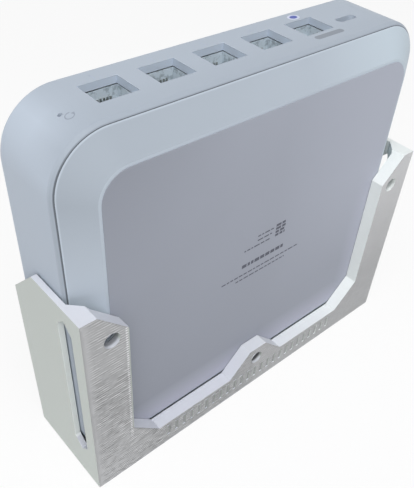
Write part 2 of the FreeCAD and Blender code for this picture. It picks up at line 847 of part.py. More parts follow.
# ---------------------------------------------------------------- power inlet
def make_usb_shell():
    """Drawn steel shell of the USB-C receptacle."""
    face_z = port_in_z - usb_face_gap
    back_z = face_z - usb_len
    outer = stadium(usb_x, usb_y, usb_w, usb_h, back_z, face_z)
    inner_w = usb_w - 2 * usb_wall_t
    inner_h = usb_h - 2 * usb_wall_t
    inner = stadium(usb_x, usb_y, inner_w, inner_h, back_z - past, face_z + past)
    tube = outer.cut(inner)
    low_y = usb_y - usb_h / 2
    feet = []
    for side in (-1, 1):
        foot_x = usb_x + side * (usb_w / 2 - usb_foot_edge)
        foot_z = back_z + usb_foot_back
        feet.append(block(foot_x - usb_foot_w / 2, foot_x + usb_foot_w / 2, board_top_y,
                          low_y + usb_wall_t / 3, foot_z, foot_z + usb_foot_len))
    return tube.fuse(feet)


def make_usb_tongue():
    """Moulded insulator of the USB-C receptacle, with its tongue and the riser under the shell."""
    face_z = port_in_z - usb_face_gap
    back_z = face_z - usb_len
    plug_z = back_z + usb_plug_len
    plug = stadium(usb_x, usb_y, usb_w - 2 * usb_wall_t, usb_h - 2 * usb_wall_t, back_z, plug_z)
    tongue = block(usb_x - usb_tongue_w / 2, usb_x + usb_tongue_w / 2, usb_y - usb_tongue_t / 2,
                   usb_y + usb_tongue_t / 2, plug_z, face_z - usb_tongue_back)
    low_y = usb_y - usb_h / 2
    left = usb_x - usb_riser_w / 2
    right = usb_x + usb_riser_w / 2
    tail_z = back_z - usb_tail_t
    riser = block(left, right, board_top_y, low_y, tail_z, back_z + usb_riser_len)
    tail = block(left, right, low_y, usb_y, tail_z, back_z)
    return plug.fuse([tongue, riser, tail])


def make_power_inductors():
    """Two moulded power inductors."""
    width, length, height = inductor_size
    blocks = []
    z = case_screw_high_z - inductor_drop
    for x in inductor_xs:
        body = slab_at(x, z, width, length, board_top_y, board_top_y + height)
        top = [edge for edge in body.Edges if edge.BoundBox.YMin > board_top_y + height - same_place]
        blocks.append(body.makeChamfer(inductor_chamfer, top))
    return Part.makeCompound(blocks)


def make_power_capacitors():
    """Three can capacitors on square bases."""
    cans = []
    base_w = 2 * capacitor_r
    base_y = board_top_y + capacitor_base_t
    for x in capacitor_xs:
        base = slab_at(x, capacitor_z, base_w, base_w, board_top_y, base_y)
        can = rod_y(capacitor_r, x, capacitor_z, base_y, board_top_y + capacitor_h)
        cans.append(base.fuse(can))
    return Part.makeCompound(cans)


def make_power_chip():
    """Power converter chip, on the component side."""
    width, height, thick = power_size
    x = power_x
    z = case_high_z - power_drop
    return slab_at(x, z, width, height, board_top_y, board_top_y + thick)


# ---------------------------------------------------------------- antennas
def make_antenna(side):
    """Stamped antenna on two legs, near the board's lower edge."""
    x = side * antenna_x
    low_z = board_low_z + antenna_rise
    top_y = board_top_y + antenna_h
    plate = block(x - antenna_w / 2, x + antenna_w / 2, top_y - antenna_t, top_y, low_z, low_z + antenna_run)
    feed_x = x - side * (antenna_w / 2 - antenna_leg_w / 2)
    short_x = feed_x + side * 2 * antenna_leg_w
    legs = []
    for leg_x in (feed_x, short_x):
        legs.append(block(leg_x - antenna_leg_w / 2, leg_x + antenna_leg_w / 2, board_top_y, top_y,
                          low_z, low_z + antenna_t))
    notch_x = x + side * antenna_leg_w * 2
    notch = block(notch_x - notch_w / 2, notch_x + notch_w / 2, top_y - 2 * antenna_t, top_y + past,
                  low_z - past, low_z + notch_len)
    return plate.fuse(legs).cut(notch)


# ---------------------------------------------------------------- reset switch
def switch_face_z():
    """Where the switch's body ends, below the port wall and its turned-down corner."""
    corner_z = inner_wall_z(abs(reset_x) + switch_body_w / 2)
    return min(port_in_z - switch_to_wall, corner_z - board_gap)


def make_reset_switch():
    """Body of the small push switch behind the pinhole."""
    face_z = switch_face_z()
    body = block(reset_x - switch_body_w / 2, reset_x + switch_body_w / 2, board_top_y,
                 board_top_y + switch_body_h, face_z - switch_body_len, face_z)
    half_w = plunger_w / 2 + plunger_gap
    half_h = plunger_h / 2 + plunger_gap
    depth = plunger_in + plunger_travel + plunger_spare
    well = block(reset_x - half_w, reset_x + half_w, reset_y - half_h, reset_y + half_h,
                 face_z - depth, face_z + past)
    return body.cut(well)


def make_reset_plunger():
    """The moving plunger of the reset switch."""
    face_z = switch_face_z()
    stem = block(reset_x - plunger_w / 2, reset_x + plunger_w / 2, reset_y - plunger_h / 2,
                 reset_y + plunger_h / 2, face_z - plunger_in, face_z + plunger_out)
    top = [edge for edge in stem.Edges if edge.BoundBox.ZMin > face_z + plunger_out - same_place]
    return stem.makeChamfer(plunger_chamfer, top)


# ---------------------------------------------------------------- build
def main():
    """Build every node and write it."""
    os.makedirs("parts", exist_ok=True)
    save("wall_bracket", make_wall_bracket())
    save("main_shell", make_main_shell())
    save("bottom_cover", make_bottom_cover())
    save("base_panel", make_base_panel())
    save("case_screws", make_case_screws())
    save("main_board", make_main_board())
    save("board_screws", make_board_screws())
    for index in range(port_count):
        number = str(index + 1)
        save("jack_shield_" + number, make_jack_shield(index))
        save("jack_housing_" + number, make_jack_housing(index))
        save("jack_contacts_" + number, make_jack_contacts(index))
        save("line_transformer_" + number, make_line_coil(index))
    save("usb_c_shell", make_usb_shell())
    save("usb_c_insulator", make_usb_tongue())
    save("reset_switch", make_reset_switch())
    save("reset_plunger", make_reset_plunger())
    save("processor", chip(cpu_size, by_sink(cpu_step)))
    save("processor_pad", make_pad(cpu_size, by_sink(cpu_step)))
    save("switch_chip", chip(switch_size, by_sink(switch_step)))
    save("switch_chip_pad", make_pad(switch_size, by_sink(switch_step)))
    save("memory_chip_1", make_memory(0))
    save("memory_chip_2", make_memory(1))
    save("flash_chip", chip(flash_size, by_sink(flash_step)))
    save("clock_crystal", chip(crystal_size, by_sink(crystal_step)))
    save("heat_sink", make_heat_sink())
    save("heat_sink_pins", make_sink_pins())
    save("radio_chip", chip(radio_size, radio_place()))
    save("radio_shield_frame", make_radio_frame())
    save("radio_shield_lid", make_radio_lid())
    save("antenna_left", make_antenna(-1))
    save("antenna_right", make_antenna(1))
    save("power_chip", make_power_chip())
    save("power_inductors", make_power_inductors())
    save("power_capacitors", make_power_capacitors())


main()
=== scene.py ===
"""Looks of the network node in its printed wall bracket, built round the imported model."""

import json
import math
import random

import bmesh
import bpy
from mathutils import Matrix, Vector

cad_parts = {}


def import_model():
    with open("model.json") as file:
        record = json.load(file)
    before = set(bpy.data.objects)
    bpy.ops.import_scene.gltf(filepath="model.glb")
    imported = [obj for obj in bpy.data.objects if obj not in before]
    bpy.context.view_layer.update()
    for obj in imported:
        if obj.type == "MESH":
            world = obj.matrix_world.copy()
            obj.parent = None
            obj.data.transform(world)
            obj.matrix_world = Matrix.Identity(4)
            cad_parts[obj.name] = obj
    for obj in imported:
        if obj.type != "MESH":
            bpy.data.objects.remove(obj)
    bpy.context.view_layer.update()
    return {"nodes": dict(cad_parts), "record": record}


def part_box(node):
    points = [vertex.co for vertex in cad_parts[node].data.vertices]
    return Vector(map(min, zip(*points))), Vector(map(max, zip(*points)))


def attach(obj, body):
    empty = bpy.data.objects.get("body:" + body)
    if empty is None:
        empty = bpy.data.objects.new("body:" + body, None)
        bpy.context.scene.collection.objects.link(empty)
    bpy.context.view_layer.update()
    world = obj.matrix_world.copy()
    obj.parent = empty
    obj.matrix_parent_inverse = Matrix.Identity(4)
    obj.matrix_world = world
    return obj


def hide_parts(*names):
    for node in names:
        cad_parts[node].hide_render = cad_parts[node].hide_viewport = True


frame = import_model()
nodes = frame["nodes"]

MM = 0.001
X, Y, Z = 0, 1, 2
rng = random.Random(7)


# ---------------------------------------------------------------- material helpers
class Paint:
    """A material with a Principled shader, and short ways to add nodes to it."""

    def __init__(self, name, rough, metal=0.0):
        self.material = bpy.data.materials.new(name)
        self.material.use_nodes = True
        self.tree = self.material.node_tree
        self.shader = self.tree.nodes["Principled BSDF"]
        self.shader.inputs["Roughness"].default_value = rough
        self.shader.inputs["Metallic"].default_value = metal
        self.shader.inputs["Specular IOR Level"].default_value = 0.5 if metal else 0.25
        coordinates = self.tree.nodes.new("ShaderNodeTexCoord")
        self.place = coordinates.outputs["Object"]
        self.facing = coordinates.outputs["Normal"]

    def link(self, source, target):
        self.tree.links.new(source, target)

    def scaled(self, x=1.0, y=1.0, z=1.0):
        """Object coordinates times (x, y, z), so 1 is a metre and 1000 a millimetre."""
        node = self.tree.nodes.new("ShaderNodeMapping")
        node.vector_type = "POINT"
        node.inputs["Scale"].default_value = (x, y, z)
        self.link(self.place, node.inputs["Vector"])
        return node.outputs["Vector"]

    def noise(self, vector, scale=1.0, detail=3.0, rough=0.55):
        node = self.tree.nodes.new("ShaderNodeTexNoise")
        node.inputs["Scale"].default_value = scale
        node.inputs["Detail"].default_value = detail
        node.inputs["Roughness"].default_value = rough
        self.link(vector, node.inputs["Vector"])
        return node.outputs["Fac"]

    def cell_edges(self, vector, scale):
        """Distance to the nearest edge between random cells."""
        node = self.tree.nodes.new("ShaderNodeTexVoronoi")
        node.feature = "DISTANCE_TO_EDGE"
        node.inputs["Scale"].default_value = scale
        self.link(vector, node.inputs["Vector"])
        return node.outputs["Distance"]

    def level_bands(self, scale):
        """Even level bands, one above the other."""
        node = self.tree.nodes.new("ShaderNodeTexWave")
        node.bands_direction = "Z"
        node.inputs["Scale"].default_value = scale
        node.inputs["Distortion"].default_value = 0.0
        self.link(self.place, node.inputs["Vector"])
        return node.outputs["Fac"]

    def span(self, value, low, high, to_low=0.0, to_high=1.0):
        """Value from low..high mapped to to_low..to_high, clamped."""
        node = self.tree.nodes.new("ShaderNodeMapRange")
        node.inputs["From Min"].default_value = low
        node.inputs["From Max"].default_value = high
        node.inputs["To Min"].default_value = to_low
        node.inputs["To Max"].default_value = to_high
        self.link(value, node.inputs["Value"])
        return node.outputs["Result"]

    def along(self, axis, ends_mm, to_low=0.0, to_high=1.0):
        """Mask by place along an axis: to_low at the first end, to_high at the second."""
        place = self.axis(self.place, axis)
        return self.span(place, ends_mm[0] * MM, ends_mm[1] * MM, to_low, to_high)

    def turned(self, axis, low, high, to_low=0.0, to_high=1.0):
        """Mask by how far the surface faces along an axis."""
        return self.span(self.axis(self.facing, axis), low, high, to_low, to_high)

    def math(self, kind, first, second=None):
        node = self.tree.nodes.new("ShaderNodeMath")
        node.operation = kind
        for socket, value in zip(node.inputs, (first, second)):
            if value is None:
                continue
            if isinstance(value, (int, float)):
                socket.default_value = value
            else:
                self.link(value, socket)
        return node.outputs["Value"]

    def times(self, *values):
        """Product of sockets and numbers."""
        total = values[0]
        for value in values[1:]:
            total = self.math("MULTIPLY", total, value)
        return total

    def axis(self, vector, index):
        node = self.tree.nodes.new("ShaderNodeSeparateXYZ")
        self.link(vector, node.inputs["Vector"])
        return node.outputs[index]

    def mix(self, share, first, second):
        """Colour between two colours or colour sockets."""
        node = self.tree.nodes.new("ShaderNodeMix")
        node.data_type = "RGBA"
        self.link(share, node.inputs["Factor"])
        for name, value in (("A", first), ("B", second)):
            socket = [s for s in node.inputs if s.name == name and s.type == "RGBA"][0]
            if isinstance(value, tuple):
                socket.default_value = (*value, 1.0)
            else:
                self.link(value, socket)
        return [s for s in node.outputs if s.type == "RGBA"][0]

    def bump(self, height, strength, depth_mm, after=None):
        node = self.tree.nodes.new("ShaderNodeBump")
        node.inputs["Strength"].default_value = strength
        node.inputs["Distance"].default_value = depth_mm * MM
        self.link(height, node.inputs["Height"])
        if after is not None:
            self.link(after, node.inputs["Normal"])
        return node.outputs["Normal"]

    def finish(self, colour, normal, rough=None):
        self.link(colour, self.shader.inputs["Base Color"])
        self.link(normal, self.shader.inputs["Normal"])
        if rough is not None:
            self.link(rough, self.shader.inputs["Roughness"])
        return self.material


def shade(colour, factor):
    """The same colour, lighter or darker."""
    return tuple(min(1.0, c * factor) for c in colour)


def moulded(name, colour, rough, grain_mm, relief_mm, spread, drift=None, tones=None):
    """Moulded plastic: a fine grain, slow changes of tone and gloss, and painted light from a
    drift.
    """
    paint = Paint(name, rough)
    fine = paint.noise(paint.scaled(), 1000.0 / grain_mm, 2.0)
    slow = paint.noise(paint.scaled(), 28.0, 2.0)
    tone = paint.math("ADD", paint.times(fine, 0.35), paint.times(slow, 0.65))
    dark, pale = shade(colour, 1 - spread), shade(colour, 1 + spread)
    colour_out = paint.mix(paint.span(tone, 0.3, 0.7), dark, pale)
    # the drift paints light and shade in slow slopes across and up the piece
    if drift is not None:
        colour_out = painted_light_drift(paint, colour_out, colour, *drift)
    # tones paint light and shade on the case, and cloudy patches on the jacks
    if tones is not None:
        colour_out = tones(paint, colour_out)
    gloss = paint.span(slow, 0.3, 0.7, rough - 0.04, rough + 0.05)
    return paint.finish(colour_out, paint.bump(fine, 0.6, relief_mm), gloss)


DRIFT_MIDDLE_Z = 0.07       # painted light and shade slope about this height, in metres
DRIFT_MOST = 0.3            # share by which the painted light of a drift changes a tone at most


def painted_light_drift(paint, colour_in, colour, along_x, along_z):
    """Painted light: a colour growing lighter across and up the piece, by the given shares per
    metre.
    """
    across = paint.times(paint.axis(paint.place, X), along_x)
    rise = paint.math("SUBTRACT", paint.axis(paint.place, Z), DRIFT_MIDDLE_Z)
    total = paint.math("ADD", across, paint.times(rise, along_z))
    pale, dark = shade(colour, 1 + DRIFT_MOST), shade(colour, 1 - DRIFT_MOST)
    lighter = paint.mix(paint.span(total, 0.0, DRIFT_MOST), colour_in, pale)
    return paint.mix(paint.span(total, 0.0, -DRIFT_MOST), lighter, dark)


def metal(name, colour, rough, along=(60, 60, 900)):
    """Drawn or rolled metal with fine lines and faint stains."""
    paint = Paint(name, rough, 1.0)
    lines = paint.noise(paint.scaled(*along), 4.0)
    stains = paint.noise(paint.scaled(), 180.0)
    stained, clean = shade(colour, 0.86), shade(colour, 1.06)
    colour_out = paint.mix(paint.span(stains, 0.35, 0.7), stained, clean)
    gloss = paint.span(lines, 0.3, 0.7, rough - 0.07, rough + 0.09)
    return paint.finish(colour_out, paint.bump(lines, 0.25, 0.03), gloss)


# ---------------------------------------------------------------- plastics of the case
SHELL = (0.469, 0.528, 0.607)
COVER = (0.434, 0.486, 0.550)
# the cover's colour with painted light, for its right side
COVER_LIT_RIGHT = (0.52948, 0.6107076, 0.67771)
PANEL = (0.352, 0.373, 0.432)
# painted light thrown back from the bracket onto the panel
PANEL_EDGE = (0.49, 0.50, 0.60)
JACK = (0.62, 0.70, 0.76)
JACK_CLOUD = (0.24, 0.29, 0.32)

# Where the painted light and shade of the case change, in millimetres
SHELL_FADE_Y = (6.0, -6.0)              # the port face, towards the seam
SHELL_ROUND_Y = (-6.3, -7.3)            # its rounding beside the seam
SHELL_SEAM_Y = (-7.76, -7.86)           # its last edge, in the seam
OPENING_MIDDLE_Y = 5.2                  # middle of the openings in the port face
OPENING_SIDE = (5.4, 5.3)               # from that middle to the openings' sides
OPENING_TOP_Z = (129.5, 129.2)
OPENING_FOOT_Z = (126.8, 127.0)
OPENING_ROW_X = (56.0, 54.0)            # from the middle to the ends of their row
USB_X = (36.0, 38.0)                    # from the sockets to the power inlet
COVER_SEAM_Y = (-8.42, -8.28)           # the cover's edge along the seam


def shell_painted_light(paint, colour):
    """Painted shade on the port face and towards the seam, and painted light inside the
    openings.
    """
    # painted shade on faces turned up
    level = paint.turned(Z, 0.8, 0.98, 0.0, 0.75)
    colour = paint.mix(level, colour, shade(SHELL, 0.88))
    top = paint.turned(Z, 0.3, 0.7)
    # painted shade on the port face, growing towards the seam
    fade = paint.times(paint.along(Y, SHELL_FADE_Y, 0.0, 0.8), top)
    colour = paint.mix(fade, colour, shade(SHELL, 0.86))
    # painted shade on the rounding beside the seam, dimming its highlight
    colour = paint.mix(paint.along(Y, SHELL_ROUND_Y), colour, shade(SHELL, 0.8))
    # painted shadow in the seam, on faces not turned up
    seam = paint.times(paint.along(Y, SHELL_SEAM_Y), paint.math("SUBTRACT", 1.0, top))
    colour = paint.mix(seam, colour, shade(SHELL, 0.3))
    x, y = paint.axis(paint.place, X), paint.axis(paint.place, Y)
    off_middle = paint.math("ABSOLUTE", paint.math("SUBTRACT", y, OPENING_MIDDLE_Y * MM))
    off_row = paint.math("ABSOLUTE", x)
    # painted light on the walls inside the openings, weaker at the power inlet
    inside = paint.times(
        paint.span(off_middle, OPENING_SIDE[0] * MM, OPENING_SIDE[1] * MM),
        paint.span(off_row, OPENING_ROW_X[0] * MM, OPENING_ROW_X[1] * MM),
        paint.along(Z, OPENING_TOP_Z),
        paint.along(Z, OPENING_FOOT_Z),
        paint.along(X, USB_X, 0.65, 0.45),
    )
    return paint.mix(inside, colour, shade(SHELL, 1.4))


def cover_painted_light(paint, colour):
    """Painted light low on the left, on the crest round the panel and to the right; a painted
    highlight along the seam.
    """
    # painted light low on the left
    low_left = paint.times(paint.along(Z, (112.0, 78.0)), paint.along(X, (-20.0, -50.0)))
    colour = paint.mix(low_left, colour, shade(COVER, 1.16))
    # painted light on the crest round the panel
    crest = paint.turned(Y, -0.93, -0.98)
    colour = paint.mix(crest, colour, shade(COVER, 1.1))
    colour = paint.mix(paint.along(X, (15.0, 60.0)), colour, COVER_LIT_RIGHT)
    # painted highlight on the cover's edge along the seam
    return paint.mix(paint.along(Y, COVER_SEAM_Y, 0.0, 0.55), colour, shade(COVER, 1.35))


def panel_painted_light(paint, colour):
    """Painted shade in the upper left corner, painted light to the right and beside the
    bracket.
    """
    # painted shade in the upper left corner
    corner = paint.times(paint.along(X, (-15.0, -60.0)), paint.along(Z, (80.0, 118.0)))
    colour = paint.mix(corner, colour, shade(PANEL, 0.85))
    right = paint.times(paint.along(X, (5.0, 55.0)), paint.along(Z, (35.0, 80.0)))
    colour = paint.mix(right, colour, shade(PANEL, 1.26))
    # painted light along the foot and side beside the bracket
    foot = paint.along(Z, (24.0, 13.0), 0.0, 0.8)
    side = paint.times(paint.along(X, (49.0, 59.0), 0.0, 0.6), paint.along(Z, (84.0, 70.0)))
    return paint.mix(paint.math("MAXIMUM", foot, side), colour, PANEL_EDGE)


def jack_tones(paint, colour):
    """Cloudy dark patches."""
    cloud = paint.noise(paint.scaled(), 620.0, 3.0, 0.6)
    return paint.mix(paint.span(cloud, 0.5, 0.62, 0.0, 0.6), colour, JACK_CLOUD)


# ---------------------------------------------------------------- plastic of the bracket
PRINT = (0.590, 0.630, 0.600)
PRINT_LIT_UP = (0.66, 0.68, 0.74)           # painted light on faces turned up
PRINT_LIT_RIGHT = (0.90, 0.94, 0.92)        # painted light towards the right arm, and inside the slots
# painted shade inside the screw holes
PRINT_HOLE_SHADE = (0.07, 0.07, 0.075)
PRINT_SHADED_SIDE = (0.435, 0.438, 0.445)     # painted shade on the wall-side face, turned from the lamps
RIDGE_SCALE = 314.159                   # wave scale that puts a ridge on every millimetre
LAYER_SCALE = 1000.0 / 3.0              # and the one for the printer's layers

# Where the painted light and shade of the bracket change, in millimetres
WALL_SIDE_Y = (-16.8, -17.2)            # only beyond this is it the wall-side face
VALLEY_Y = (-18.45, -18.2)              # between strands, and in the grooves
HOLE_Y = (-17.9, -17.2)                 # below the lit mouth of a screw hole
HOLE_EDGE = (3.6, 3.4)                  # from the hole's middle to its side
SLOT_END_Y = (-7.0, -6.6)               # room-side end of the relief slots
SCREW_HOLES = (                         # across, height, and how dark the painted shade inside
    (-63.65, 69.7, 0.6),
    (63.65, 69.7, 0.35),
    (0.0, 14.95, 0.9),
)


def hole_shade_mask(paint):
    """How dark the painted shade inside the screw holes is."""
    total = None
    x, z = paint.axis(paint.place, X), paint.axis(paint.place, Z)
    for across, height, share in SCREW_HOLES:
        dx = paint.math("SUBTRACT", x, across * MM)
        dz = paint.math("SUBTRACT", z, height * MM)
        away = paint.math("SQRT", paint.math("ADD", paint.times(dx, dx), paint.times(dz, dz)))
        mask = paint.span(away, HOLE_EDGE[0] * MM, HOLE_EDGE[1] * MM, 0.0, share)
        total = mask if total is None else paint.math("MAXIMUM", total, mask)
    return paint.times(total, paint.along(Y, HOLE_Y))


def smooth_print(paint, slow):
    """Colour of the bracket's smooth faces, with painted light on faces turned up and towards
    the right.
    """
    dark, pale = shade(PRINT, 0.975), shade(PRINT, 1.025)
    colour = paint.mix(paint.span(slow, 0.3, 0.7), dark, pale)
    # painted light on faces turned up
    colour = paint.mix(paint.turned(Z, 0.25, 0.6), colour, PRINT_LIT_UP)
    # painted light towards the right arm
    return paint.mix(paint.along(X, (-10.0, 55.0), 0.0, 0.85), colour, PRINT_LIT_RIGHT)


def wall_side_painted_light(paint, colour, near):
    """Painted shade of the wall side under its strands; lighter at the outer edge; painted
    light low left, high right.
    """
    colour = paint.mix(near, colour, PRINT_SHADED_SIDE)
    outer_edge = paint.times(near, paint.along(X, (-70.0, -72.5)))
    colour = paint.mix(outer_edge, colour, shade(PRINT_SHADED_SIDE, 1.2))
    low_left = paint.times(near, paint.along(Z, (40.0, 8.0)), paint.along(X, (-45.0, -62.0)))
    colour = paint.mix(low_left, colour, shade(PRINT_SHADED_SIDE, 1.22))
    high_right = paint.times(near, paint.along(Z, (25.0, 78.0)), paint.along(X, (50.0, 58.0)))
    return paint.mix(high_right, colour, shade(PRINT_SHADED_SIDE, 1.42))


def print_material():
    """Printed plastic: painted light on faces turned up, and rough strands on the wall side
    with painted highlights and shade.
    """
    paint = Paint("bracket_printed", 0.5)
    slow = paint.noise(paint.scaled(), 30.0, 2.0)
    breaks = paint.noise(paint.scaled(260, 260, 260))
    broken = paint.span(paint.noise(paint.scaled(230, 230, 620)), 0.4, 0.58)
    ridges = paint.level_bands(RIDGE_SCALE)
    faces_wall = paint.turned(Y, -0.4, -0.9)
    near = paint.times(faces_wall, paint.along(Y, WALL_SIDE_Y))
    rough_face = paint.times(
        near,
        paint.along(Z, (66.0, 45.0), 0.55, 1.0),
        paint.along(X, (10.0, -50.0), 0.35, 1.0),
        paint.along(X, (-72.2, -70.2)),
    )
    colour = wall_side_painted_light(paint, smooth_print(paint, slow), near)
    # painted highlights on the ridges of the strands
    ridge_highlight = paint.times(paint.span(ridges, 0.5, 0.85), rough_face, broken, 0.9)
    colour = paint.mix(ridge_highlight, colour, shade(PRINT_SHADED_SIDE, 1.75))
    # painted shade between the ridges
    gap = paint.times(paint.span(ridges, 0.5, 0.15), rough_face, broken, 0.85)
    colour = paint.mix(gap, colour, shade(PRINT_SHADED_SIDE, 0.5))
    # painted shade between strands and in the grooves
    valley = paint.times(near, paint.along(Y, VALLEY_Y), 0.4)
    colour = paint.mix(valley, colour, shade(PRINT_SHADED_SIDE, 0.5))
    # painted highlights on beads along the window's inner edge
    bead_highlights = paint.times(
        near,
        paint.along(X, (-59.2, -58.9)),
        paint.along(X, (-57.9, -58.2)),
        paint.along(Z, (15.0, 18.0)),
        paint.span(ridges, 0.2, 0.6),
    )
    colour = paint.mix(bead_highlights, colour, shade(PRINT_SHADED_SIDE, 1.8))
    # painted light on the room-side ends of the relief slots
    slot_end = paint.times(faces_wall, paint.along(Y, SLOT_END_Y))
    colour = paint.mix(slot_end, colour, PRINT_LIT_RIGHT)
    # painted shade inside the screw holes
    colour = paint.mix(hole_shade_mask(paint), colour, PRINT_HOLE_SHADE)
    normal = paint.bump(paint.times(breaks, rough_face), 0.8, 0.9)
    normal = paint.bump(paint.level_bands(LAYER_SCALE), 0.12, 0.03, normal)
    normal = paint.bump(breaks, 0.2, 0.05, normal)
    return paint.finish(colour, normal, paint.span(slow, 0.3, 0.7, 0.45, 0.58))


def board_material():
    """Solder mask over a faint pattern of tracks."""
    paint = Paint("board_mask", 0.32)
    tracks = paint.span(paint.cell_edges(paint.scaled(), 420.0), 0.05, 0.09, 1.0, 0.0)
    colour = paint.mix(tracks, (0.012, 0.1, 0.045), (0.03, 0.17, 0.075))
    return paint.finish(colour, paint.bump(tracks, 0.3, 0.03))


# ---------------------------------------------------------------- materials of the slots
slot_materials = {
    "bracket_print": print_material(),
    "shell_white": moulded("shell_moulded", SHELL, 0.5, grain_mm=0.35, relief_mm=0.012,
                           spread=0.02, drift=(-0.6, 0.9), tones=shell_painted_light),
    "cover_white": moulded("cover_moulded", COVER, 0.5, grain_mm=0.35, relief_mm=0.014,
                           spread=0.02, drift=(1.6, -0.4), tones=cover_painted_light),
    "panel_grey": moulded("panel_soft", PANEL, 0.62, grain_mm=0.5, relief_mm=0.03,
                          spread=0.03, drift=(1.4, 1.9), tones=panel_painted_light),
    "screw_steel": metal("screw_zinc", (0.55, 0.55, 0.57), 0.32),
    "board_green": board_material(),
    "tinned_steel": metal("shield_tin", (0.68, 0.7, 0.71), 0.3, (900, 60, 60)),
    "jack_plastic": moulded("jack_moulded", JACK, 0.35, grain_mm=0.3, relief_mm=0.01,
                            spread=0.05, tones=jack_tones),
    "contact_gold": metal("contact_gilt", (0.50, 0.50, 0.46), 0.3),
    "chip_black": moulded("chip_epoxy", (0.035, 0.035, 0.04), 0.5, grain_mm=0.15,
                          relief_mm=0.02, spread=0.2),
    "switch_black": moulded("switch_moulded", (0.03, 0.03, 0.034), 0.45, grain_mm=0.25,
                            relief_mm=0.01, spread=0.15),
    "plunger_white": moulded("plunger_nylon", (0.72, 0.72, 0.68), 0.4, grain_mm=0.3,
                             relief_mm=0.01, spread=0.04),
    "thermal_pad": moulded("pad_silicone", (0.36, 0.42, 0.58), 0.7, grain_mm=0.4,
                           relief_mm=0.03, spread=0.06),
    "sink_aluminium": metal("sink_extruded", (0.72, 0.73, 0.75), 0.36, (900, 900, 40)),
    "inductor_grey": moulded("inductor_ferrite", (0.12, 0.12, 0.13), 0.6, grain_mm=0.3,
                             relief_mm=0.05, spread=0.15),
    "capacitor_can": metal("capacitor_aluminium", (0.74, 0.75, 0.77), 0.28),
}
for part in frame["record"]["subparts"]:
    node = nodes[part["node"]]
    node.data.materials.clear()
    node.data.materials.append(slot_materials[part["material_slot"]])


# ---------------------------------------------------------------- mesh helpers
def new_object(name):
    """Empty mesh object in the scene."""
    piece = bpy.data.objects.new(name, bpy.data.meshes.new(name))
    bpy.context.scene.collection.objects.link(piece)
    return piece


def copy_of(name, source):
    """Copy of a CAD node's mesh, with its flat faces whole again, as (object, bmesh)."""
    mesh = bmesh.new()
    mesh.from_mesh(nodes[source].data)
    bmesh.ops.remove_doubles(mesh, verts=mesh.verts, dist=0.001 * MM)
    bmesh.ops.dissolve_limit(mesh, angle_limit=math.radians(0.4),
                             verts=mesh.verts, edges=mesh.edges)
    for face in mesh.faces:
        face.smooth = True
    return new_object(name), mesh


def soften(mesh, width_mm, degrees=40.0, segments=2, pick=None):
    """Round the mesh's edges that are sharper than the given angle."""
    edges = []
    for edge in mesh.edges:
        if len(edge.link_faces) == 2 and edge.calc_face_angle() > math.radians(degrees):
            if pick is None or pick(edge):
                edges.append(edge)
    made = bmesh.ops.bevel(mesh, geom=edges, offset=width_mm * MM, offset_type="OFFSET",
                           segments=segments, profile=0.5, affect="EDGES", clamp_overlap=True)
    for face in made["faces"]:
        face.smooth = True


def put(piece, mesh, body, material, node=None):
    """Store the mesh, give the piece its material and body, and hide the CAD node it stands
    for.
    """
    mesh.to_mesh(piece.data)
    mesh.free()
    piece.data.materials.append(material)
    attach(piece, body)
    if node is not None:
        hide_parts(node)


def steady_normals(piece, degrees=35.0):
    """Keep large faces flat to the eye, with only their edges turning."""
    piece.data.set_sharp_from_angle(angle=math.radians(degrees))
    weighted = piece.modifiers.new("steady", "WEIGHTED_NORMAL")
    weighted.keep_sharp = True


# ---------------------------------------------------------------- printed bracket
LAYER_MM = 0.5              # half a ridge of the wall-side face
STRAND_MM = 1.6             # length of one strand of it
ROUGH_BELOW_MM = 55.0       # full roughness up to this height
ROUGH_ABOVE = 0.6           # and this share of it higher up
ROUGH_RIGHT = 0.5           # share of it on the right half
ROUGH_EDGE = 0.3            # share of it along the outer edges
SMOOTH_COLUMNS = 1          # strands along the outer edges that lie flatter
GROOVE_MM = 0.26            # depth between ridges
SCATTER_MM = 0.2            # random part of a strand's depth
SAME_PLACE_MM = 0.01
BRACKET_EDGE_MM = 0.3       # rounding of the bracket's edges


def cut_face(mesh, faces, axis, low, high, step):
    """Cut the given faces by planes square to an axis."""
    place = low + step
    normal = Vector((0.0, 0.0, 0.0))
    normal[axis] = 1.0
    while place < high:
        point = Vector((0.0, 0.0, 0.0))
        point[axis] = place
        crossed = [f for f in faces if min(v.co[axis] for v in f.verts) < place - 1e-6
                   and max(v.co[axis] for v in f.verts) > place + 1e-6]
        around = {e for f in crossed for e in f.edges} | {v for f in crossed for v in f.verts}
        made = bmesh.ops.bisect_plane(mesh, geom=crossed + list(around), dist=1e-7,
                                      plane_co=point, plane_no=normal)
        faces = [f for f in faces if f.is_valid]
        known = set(faces)
        for item in made["geom"]:
            if isinstance(item, bmesh.types.BMFace) and item not in known:
                faces.append(item)
        place += step
    return faces


def strand_depth(row, column, last_column, on_right):
    """Random depth of the wall-side face at a crossing of its rows and columns."""
    rough = 1.0 if row * LAYER_MM < ROUGH_BELOW_MM else ROUGH_ABOVE
    if column < SMOOTH_COLUMNS or column > last_column - SMOOTH_COLUMNS:
        rough *= ROUGH_EDGE
    if on_right:
        rough *= ROUGH_RIGHT
    groove = GROOVE_MM if row % 2 else 0.0
    return (groove + rng.random() * SCATTER_MM) * rough * MM


